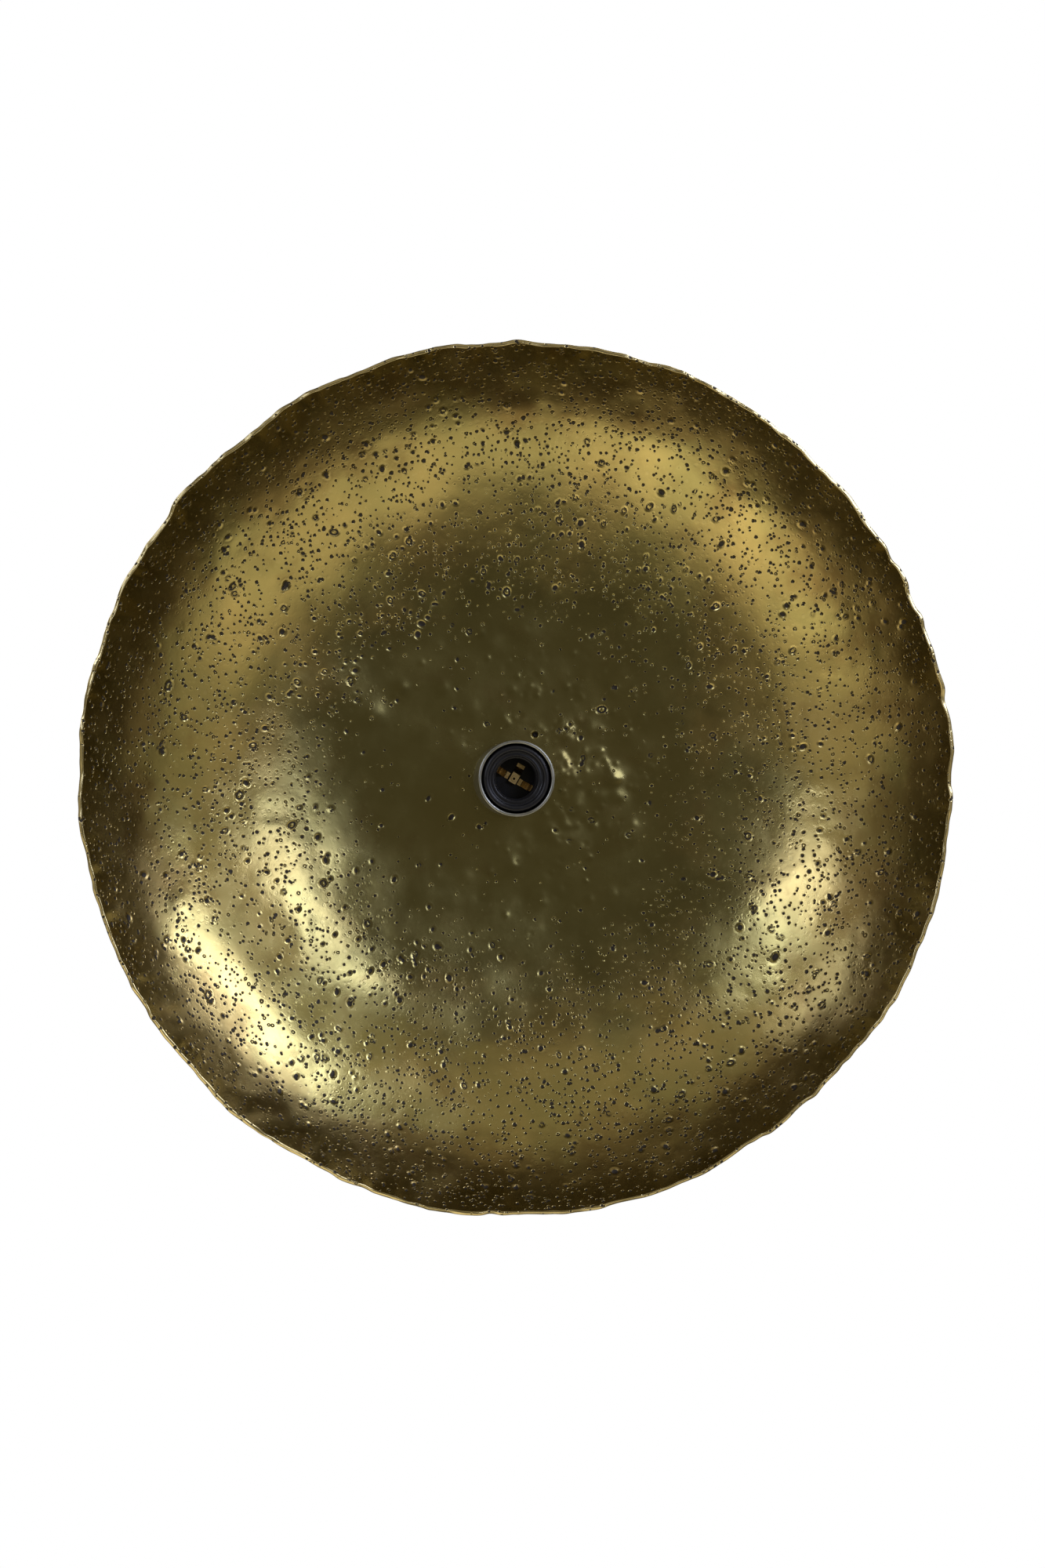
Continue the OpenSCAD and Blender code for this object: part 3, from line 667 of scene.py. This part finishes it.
cast_dish()

# ---------------------------------------------------------------- the lampholder

THREAD_PITCH = 3.629
CREST_R = 12.25            # inside radius over the thread's crests
BORE_R = 13.3
LIP_R = 1.85
FACE_Z = MOUTH_Z - LIP_R
SHELL_WALL = 2.1
SLEEVE_WALL = 2.2
CUP_WALL = 1.0
THREAD_END = 73.2          # where the shell's thread runs out, above the block
GROOVE_R = 15.5            # radius of the fine groove in the shell's face


def shell_piece():
    """Front half of the lampholder: skirt, rounded lip, flat ring and a sleeve with a knuckle thread."""
    inner = SHELL_R - SHELL_WALL
    path = [(inner, SKIRT_Z + 0.3), (inner + 0.3, SKIRT_Z)]
    path += [(SHELL_R - 0.4, SKIRT_Z), (SHELL_R, SKIRT_Z + 0.4)]
    path += [(SHELL_R, z) for z in np.linspace(SKIRT_Z + 4, FACE_Z - 3, 8)]
    path += arc(SHELL_R - LIP_R, FACE_Z, LIP_R, 0, 172, 22)
    path += [(SHELL_R - 2 * LIP_R - 0.15, FACE_Z + 0.05), (GROOVE_R + 0.4, FACE_Z), (GROOVE_R, FACE_Z - 0.22),
             (GROOVE_R - 0.4, FACE_Z)]
    path += arc(BORE_R + 0.9, FACE_Z - 0.9, 0.9, 90, 180, 8)
    path += thread(BORE_R, CREST_R, THREAD_PITCH, FACE_Z - 1.9, THREAD_END, 128, steps=16, fade=0.35,
                   knuckle=True)
    path += [(BORE_R, BLOCK_RIM + 0.3), (BORE_R + 0.3, BLOCK_RIM), (BORE_R + SLEEVE_WALL, BLOCK_RIM),
             (BORE_R + SLEEVE_WALL, FACE_Z - 3), (inner, FACE_Z - 3)]
    return turned("threaded_shell", path, 128, BLACK_PLASTIC, "holder_shell")


def cup_piece():
    """Metal cup with a rolled rim round the lampholder."""
    roll = 1.1
    corner = 3.0
    path = [(ROD_HOLE_R, DISH_FLOOR)]
    path += arc(CUP_R - corner, DISH_FLOOR + corner, corner, -90, 0, 10)
    path += [(CUP_R, z) for z in np.linspace(DISH_FLOOR + 6, CUP_RIM - 4, 12)]
    path += arc(CUP_R - roll, CUP_RIM - roll, roll, 0, 200, 16)
    path += [(CUP_R - CUP_WALL - 0.2, CUP_RIM - 2.1), (CUP_R - CUP_WALL, CUP_RIM - 2.6)]
    path += arc(CUP_R - corner, DISH_FLOOR + corner, corner - CUP_WALL, 0, -90, 10)
    path += [(ROD_HOLE_R, DISH_FLOOR + CUP_WALL)]
    return turned("rolled_cup", path, 160, CUP_METAL, "holder_cup")


def filleted(path, radius, steps=5):
    """A path with its corners rounded by short curves."""
    path = [np.asarray(p, float) for p in path]
    out = [path[0]]
    for before, corner, after in zip(path, path[1:], path[2:]):
        a, b = before - corner, after - corner
        reach = min(radius, np.linalg.norm(a) / 2, np.linalg.norm(b) / 2)
        start = corner + a / np.linalg.norm(a) * reach
        end = corner + b / np.linalg.norm(b) * reach
        for t in np.linspace(0, 1, steps + 1):
            out.append((1 - t) ** 2 * start + 2 * t * (1 - t) * corner + t * t * end)
    return out + [path[-1]]


def bent_strip(name, path, width, thickness, turn, material, body, node):
    """A bent strip of sheet with eased edges: a path of (distance from the axis, z) given thickness on its
    left, and turned round the axis."""
    line = np.array(filleted(path, 1.2))
    step = np.gradient(line, axis=0)
    step /= np.linalg.norm(step, axis=1)[:, None]
    upper = line + thickness * np.stack([-step[:, 1], step[:, 0]], axis=1)
    outline = np.concatenate([line, upper[::-1]])
    n, half = len(line), width / 2
    ends = half * np.ones(len(outline))
    ends[n - 2:n + 2] = half * 0.97
    near = np.stack([outline[:, 0], -ends, outline[:, 1]], axis=1)
    far = near * [1, -1, 1]
    points = np.concatenate([near, far])
    c, s = math.cos(turn), math.sin(turn)
    x, y, z = points.T
    points = np.stack([c * x - s * y, s * x + c * y, z], axis=1)
    total = len(outline)
    k = np.arange(total)
    k1 = (k + 1) % total
    wall = np.stack([k, k + total, k1 + total, k1], axis=1)[:, ::-1]
    m = np.arange(n - 1)
    near_side = np.stack([m, total - 1 - m, total - 2 - m, m + 1], axis=1)[:, ::-1]
    far_side = near_side[:, ::-1] + total
    piece = mesh_piece(name, points, [np.concatenate([wall, near_side, far_side])], material)
    ease = piece.modifiers.new("eased_edges", "BEVEL")
    ease.width = 0.08 * MM
    ease.segments = 2
    ease.limit_method = "ANGLE"
    ease.angle_limit = math.radians(50)
    sharpen(piece)
    return stand_for(piece, body, node)


def side_contacts():
    base = FLOOR_Z + 0.15
    path = [(6.15, base), (10.8, base + 4.6), (11.7, base + 7), (11.6, base + 7.6), (12.3, base + 8.6)]
    for side, turn in (("left", 0), ("right", math.pi)):
        bent_strip("sprung_contact_" + side, path, 4.2, 0.5, CONTACT_ANGLE + turn, CONTACT_BRASS,
                   "side_contact_" + side, "side_contact_" + side)


shell_piece()
cup_piece()
side_contacts()

# ---------------------------------------------------------------- rod, nuts and side screws


def rod_piece():
    """Hollow rod with a fine thread and chamfered ends."""
    bore = 3.8
    root = ROD_R - 0.55
    path = [(bore, ROD_BACK + 0.3), (bore + 0.3, ROD_BACK), (root, ROD_BACK)]
    path += thread(root, ROD_R, 1.0, ROD_BACK + 0.1, ROD_FRONT - 0.1, 64, steps=8, fade=0.8)
    path += [(root, ROD_FRONT), (bore + 0.3, ROD_FRONT), (bore, ROD_FRONT - 0.3)]
    return turned("hollow_threaded_rod", path, 64, ZINC_STEEL, "threaded_rod")


def nut_piece(node):
    """Hexagon nut with both faces chamfered and a countersunk thread."""
    back, front = depth_of(node)
    segments = 96
    angles = np.arange(segments) * TAU / segments
    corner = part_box(node)[1].x / MM
    apothem = corner * math.cos(math.pi / 6)
    hexagon = apothem / np.cos((angles % (math.pi / 3)) - math.pi / 6)
    bore = ROD_R + 0.05
    cut = apothem - 0.15
    path = [(bore, back + 0.5), (bore + 0.5, back), (cut, back)]
    path += [(np.minimum(hexagon, cut + t * 2.2), back + t) for t in (0.15, 0.4, 0.7)]
    path += [(hexagon, (back + front) / 2)]
    path += [(np.minimum(hexagon, cut + t * 2.2), front - t) for t in (0.7, 0.4, 0.15)]
    path += [(cut, front), (bore + 0.5, front), (bore, front - 0.5)]
    return turned("chamfered_" + node, path, segments, ZINC_STEEL, node)


def side_screw_piece(side):
    """Brass screw through the canopy's side: knurled head with a domed end, and a threaded shank."""
    name = "left" if side < 0 else "right"
    node = "side_screw_" + name
    lo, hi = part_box(node)
    tip, end = sorted((abs(lo.x) / MM, abs(hi.x) / MM))
    head_r = (hi.z - lo.z) / 2 / MM
    level = -(lo.y + hi.y) / 2 / MM
    under = CANOPY_R + 0.62
    segments = 144
    angles = np.arange(segments) * TAU / segments
    shank = 1.95
    path = [(0.05, tip), (shank - 0.6, tip), (shank - 0.3, tip + 0.3)]
    path += thread(shank - 0.35, shank, 0.7, tip + 0.35, under - 0.6, segments, steps=8, fade=0.8)
    path += [(shank, under - 0.3), (shank, under), (head_r - 0.35, under), (head_r - 0.1, under + 0.25)]
    for z in np.linspace(under + 0.4, under + 3.4, 25):
        one = np.abs(((angles * 24 / TAU + z / 1.3) % 1) - 0.5)
        other = np.abs(((angles * 24 / TAU - z / 1.3) % 1) - 0.5)
        path.append((head_r - 0.30 * (1 - np.clip(4 * np.minimum(one, other), 0, 1)), z))
    path += [(head_r - 0.12, under + 3.6)]
    dome = 2.2
    path += arc(head_r - dome, end - dome, dome, 12, 90, 10)
    path += [(head_r * 0.3, end), (0.05, end)]
    points, faces = lathe(path, segments)
    if side > 0:
        points = points[:, [2, 1, 0]] * [1, 1, -1]
    else:
        points = points[:, [2, 1, 0]] * [-1, 1, 1]
    points = points + [0, 0, level]
    piece = sharpen(mesh_piece("knurled_screw_" + name, points, faces, SCREW_BRASS), 40)
    return stand_for(piece, node, node)


rod_piece()
nut_piece("rear_lock_nut")
nut_piece("front_lock_nut")
side_screw_piece(-1)
side_screw_piece(1)

# ---------------------------------------------------------------- wires

WIRE_R = 1.1
BLOCK_UNDER = depth_of("contact_block")[0]


def holder_end(side):
    """Route of a wire from its terminal under the contact block down through the rod."""
    stops = [(7.2, BLOCK_UNDER - 2.6), (7.2, BLOCK_UNDER - 6), (6, BLOCK_UNDER - 8), (3.4, BLOCK_UNDER - 9.8),
             (1.6, ROD_FRONT), (1.5, ROD_FRONT - 5), (1.5, 28), (1.5, 19), (1.5, 14.5)]
    return [(side * s * math.cos(CONTACT_ANGLE), side * s * math.sin(CONTACT_ANGLE), z) for s, z in stops]


LIVE_ROUTE = holder_end(1) + [(-1.9, -1, 11.4), (-2.8, -4, 8.6), (-4.5, -9, 7.2), (-7.6, -16, 7),
                              (-9.7, -22, 7), (-10, -27, 7), (-10, -33, 7)]
NEUTRAL_ROUTE = holder_end(-1) + [(1.9, -2.6, 11.4), (2.9, -5.4, 8.6), (4.6, -10, 7.2), (7.6, -16, 7),
                                  (9.7, -22, 7), (10, -27, 7), (10, -33, 7)]
EARTH_ROUTE = [(0, -11, 24.6), (0, -15, 24.6), (0, -17.6, 23.6), (0, -19.6, 20.6), (0, -20, 16),
               (0, -20.4, 12), (0, -22.2, 8.6), (0, -25, 7.2), (0, -28, 7), (0, -33, 7)]


def catmull(route, steps):
    """Points along a smooth curve through a route."""
    p = np.asarray(route, float)
    p = np.concatenate([p[:1], p, p[-1:]])
    out = []
    for a, b, c, d in zip(p, p[1:], p[2:], p[3:]):
        for t in np.arange(steps) / steps:
            out.append(0.5 * (2 * b + (c - a) * t + (2 * a - 5 * b + 4 * c - d) * t * t
                              + (3 * b - a - 3 * c + d) * t ** 3))
    return np.array(out + [p[-1]])


def wire_piece(name, route, bare_ends, material, node):
    """An insulated wire with bare strands where it enters a terminal. bare_ends are the bare lengths at its
    start and end, in millimetres."""
    line = catmull(route, 8)
    sides = 24
    tangent = np.gradient(line, axis=0)
    tangent /= np.linalg.norm(tangent, axis=1)[:, None]
    u = np.array([1.0, 0, 0]) - tangent[:, :1] * tangent
    u /= np.linalg.norm(u, axis=1)[:, None]
    v = np.cross(tangent, u)
    run = np.concatenate([[0], np.cumsum(np.linalg.norm(np.diff(line, axis=0), axis=1))])
    bare = np.maximum(run < bare_ends[0], run[-1] - run < bare_ends[1])
    radius = np.where(bare, 0.68 * WIRE_R, WIRE_R)
    turn = np.arange(sides) * TAU / sides
    rings = [line[i] + radius[i] * (np.cos(turn)[:, None] * u[i] + np.sin(turn)[:, None] * v[i])
             for i in range(len(line))]
    faces = []
    for i in range(len(rings) - 1):
        faces += join_rings(i * sides, sides, (i + 1) * sides, sides)
    points = np.concatenate(rings + [line[:1], line[-1:]])
    hub = len(rings) * sides
    k = np.arange(sides)
    k1 = (k + 1) % sides
    caps = [np.stack([k1, k, np.full(sides, hub)], axis=1),
            np.stack([hub - sides + k, hub - sides + k1, np.full(sides, hub + 1)], axis=1)]
    stripe = np.tile((np.cos(turn) > 0.1).astype(float), len(rings))
    piece = mesh_piece(name, points, faces_by_size(faces + caps), material,
                       attributes={"bare": np.append(np.repeat(bare, sides), [1, 1]),
                                   "stripe": np.append(stripe, [0, 0])})
    return stand_for(piece, "lamp", node)


wire_piece("insulated_wire_live", LIVE_ROUTE, (4, 7), BROWN_WIRE, "wire_live")
wire_piece("insulated_wire_neutral", NEUTRAL_ROUTE, (4, 7), BLUE_WIRE, "wire_neutral")
wire_piece("insulated_wire_earth", EARTH_ROUTE, (4.5, 7), EARTH_WIRE, "wire_earth")

# ---------------------------------------------------------------- camera and light

PICTURE = (1333, 2000)                   # the picture's width and height
DISH_SHARE = 0.838                       # the dish's diameter as a share of the picture's width
CAMERA_TURN = math.radians(-4.2)         # the camera stands a little to the left of the axis
CAMERA_DISTANCE = 1.25                   # from the rim's plane
CAMERA_DROP = 0.006                      # how far below its aim it stands, as a slope
AIM_X, AIM_Z = 0.0005, -0.0036           # the point of the rim's plane in the picture's middle
SENSOR = 36.0
LIGHT_AIM = Vector((0, -0.06, 0))        # the point that the lights face


def add_camera():
    data = bpy.data.cameras.new("camera")
    camera = bpy.data.objects.new("camera", data)
    bpy.context.scene.collection.objects.link(camera)
    picture_high = 2 * DISH_R * MM / DISH_SHARE * PICTURE[1] / PICTURE[0]
    data.sensor_width = SENSOR
    data.lens = SENSOR * CAMERA_DISTANCE / picture_high
    target = Vector((AIM_X, -DISH_RIM * MM, AIM_Z))
    away = Vector((math.sin(CAMERA_TURN), -math.cos(CAMERA_TURN), -CAMERA_DROP))
    camera.location = target + away * CAMERA_DISTANCE
    camera.rotation_mode = "QUATERNION"
    camera.rotation_quaternion = (-away).to_track_quat("-Z", "Y")
    bpy.context.scene.camera = camera


def softbox(name, off_axis, around, across, length, radiance, color=(1, 1, 1), distance=1.7):
    """A rectangular light that faces the dish. off_axis and around give its direction in degrees, from the
    lamp's axis and anticlockwise from the right. Its length runs round the axis. radiance sets how bright it
    looks."""
    a, b = math.radians(off_axis), math.radians(around)
    place = Vector((math.sin(a) * math.cos(b), -math.cos(a), math.sin(a) * math.sin(b))) * distance
    back = (place - LIGHT_AIM).normalized()
    side = Vector((-math.sin(b), 0, math.cos(b)))
    wide = side.cross(back).normalized()
    data = bpy.data.lights.new(name, "AREA")
    data.shape = "RECTANGLE"
    data.size = across
    data.size_y = length
    data.energy = radiance * across * length * math.pi
    data.color = color
    lamp = bpy.data.objects.new(name, data)
    bpy.context.scene.collection.objects.link(lamp)
    turn = Matrix((wide, back.cross(wide), back)).transposed().to_4x4()
    lamp.matrix_world = Matrix.Translation(place) @ turn


COOL = (0.90, 0.98, 1.30)
WARM = (1.0, 0.90, 0.68)


def add_light():
    """Two cool lights on each side give the dish its pairs of highlights, a dim warm one brightens its upper
    right, and two stand behind it for its back."""
    softbox("upper_right_near", 32, 29, 0.42, 0.58, 4.4, COOL)
    softbox("upper_right_far", 74, 38, 0.66, 1.00, 6.2, COOL)
    softbox("upper_left_near", 46, 153, 0.52, 0.54, 4.0, COOL)
    softbox("upper_left_far", 74, 142, 0.32, 0.42, 2.6, COOL)
    softbox("lower_left", 65, 234, 0.66, 1.60, 0.60, WARM)
    softbox("behind_right", 130, 60, 1.2, 1.2, 5, distance=2.4)
    softbox("behind_left", 130, 150, 1.2, 1.2, 4, distance=2.4)


def add_world():
    """White behind the lamp as the camera sees it. For everything else a dim warm studio: darker in front,
    with a brighter ring of walls, floor and ceiling round the camera, and dark again to the sides."""
    world = bpy.data.worlds.new("studio")
    bpy.context.scene.world = world
    world.use_nodes = True
    tree = world.node_tree
    tree.nodes.clear()

    def node(kind, **settings):
        made = tree.nodes.new(kind)
        for key, value in settings.items():
            setattr(made, key, value)
        return made

    def ramp(value, lo, hi, to_lo, to_hi):
        made = node("ShaderNodeMapRange", interpolation_type="SMOOTHSTEP")
        tree.links.new(value, made.inputs["Value"])
        for key, v in zip(("From Min", "From Max", "To Min", "To Max"), (lo, hi, to_lo, to_hi)):
            made.inputs[key].default_value = v
        return made.outputs["Result"]

    def combine(operation, a, b):
        made = node("ShaderNodeMath", operation=operation)
        tree.links.new(a, made.inputs[0])
        tree.links.new(b, made.inputs[1])
        return made.outputs["Value"]

    direction = node("ShaderNodeSeparateXYZ")
    tree.links.new(node("ShaderNodeTexCoord").outputs["Generated"], direction.inputs["Vector"])
    depth, up = direction.outputs["Y"], direction.outputs["Z"]
    floor = combine("MULTIPLY", ramp(depth, -0.78, -0.58, 0, 1), ramp(up, -0.05, -0.55, 0.16, 0.76))
    ceiling = combine("MULTIPLY", ramp(depth, -0.50, -0.32, 0, 1), ramp(up, 0.15, 0.60, 0.14, 0.25))
    ring = combine("MULTIPLY", combine("MAXIMUM", floor, ceiling), ramp(depth, -0.12, -0.32, 0, 1))
    walls = combine("MULTIPLY", ramp(depth, -0.93, -0.62, 0, 0.17), ramp(depth, 0.08, -0.14, 0, 1))
    front = ramp(depth, -1.0, -0.88, 0.145, 0.105)
    behind = ramp(depth, 0.0, 0.6, 0.0, 0.25)
    strength = combine("ADD", combine("ADD", ring, walls), combine("ADD", front, behind))

    room = node("ShaderNodeBackground")
    room.inputs["Color"].default_value = (*WARM, 1)
    tree.links.new(strength, room.inputs["Strength"])
    seen = node("ShaderNodeBackground")
    seen.inputs["Color"].default_value = (1, 1, 1, 1)
    mix = node("ShaderNodeMixShader")
    tree.links.new(node("ShaderNodeLightPath").outputs["Is Camera Ray"], mix.inputs["Fac"])
    tree.links.new(room.outputs["Background"], mix.inputs[1])
    tree.links.new(seen.outputs["Background"], mix.inputs[2])
    tree.links.new(mix.outputs["Shader"], node("ShaderNodeOutputWorld").inputs["Surface"])


add_camera()
add_light()
add_world()
bpy.context.scene.view_settings.view_transform = "Standard"

# ---------------------------------------------------------------- CAD nodes that stay

NODE_LOOKS = {
    "cast_brass": CAST_BRASS,
    "canopy_brass": CANOPY_BRASS,
    "cup_metal": CUP_METAL,
    "black_plastic": BLACK_PLASTIC,
    "contact_brass": CONTACT_BRASS,
    "zinc_steel": ZINC_STEEL,
    "black_rubber": BLACK_RUBBER,
    "black_fibre": BLACK_FIBRE,
    "white_plastic": WHITE_PLASTIC,
    "brown_wire": BROWN_WIRE,
    "blue_wire": BLUE_WIRE,
    "green_yellow_wire": EARTH_WIRE,
}
EASED = {                  # width of the eased edges, in millimetres
    "wall_bracket": 0.35, "terminal_block": 0.30, "contact_block": 0.25, "holder_dome": 0.30, "canopy": 0.30,
    "rear_lock_washer": 0.10, "front_lock_washer": 0.10, "side_washer_left": 0.10, "side_washer_right": 0.10,
    "holder_terminals": 0.20, "holder_terminal_screws": 0.12, "terminal_block_screws": 0.12,
    "block_fixing_screw": 0.15, "earth_screw": 0.18, "earth_lug": 0.12, "terminal_sleeves": 0.12,
    "entry_bush": 0.20, "contact_feet": 0.06, "contact_rivets": 0.12, "centre_contact": 0.07,
    "dish_gasket": 0.20,
}


def ease_edges(node, width):
    """Rounds a CAD node's sharp edges a little."""
    weld = node.modifiers.new("weld", "WELD")
    weld.merge_threshold = 0.001 * MM
    flat = node.modifiers.new("one_face_for_each_plane", "DECIMATE")
    flat.decimate_type = "DISSOLVE"
    flat.angle_limit = math.radians(0.4)
    bevel = node.modifiers.new("eased_edges", "BEVEL")
    bevel.width = width * MM
    bevel.segments = 2
    bevel.limit_method = "ANGLE"
    bevel.angle_limit = math.radians(40)
    even = node.modifiers.new("flat_faces_shade_flat", "WEIGHTED_NORMAL")
    even.weight = 100


for row in frame["record"]["subparts"]:
    node = frame["nodes"][row["node"]]
    node.data.materials.clear()
    node.data.materials.append(NODE_LOOKS[row["material_slot"]])
    if row["node"] in EASED:
        ease_edges(node, EASED[row["node"]])
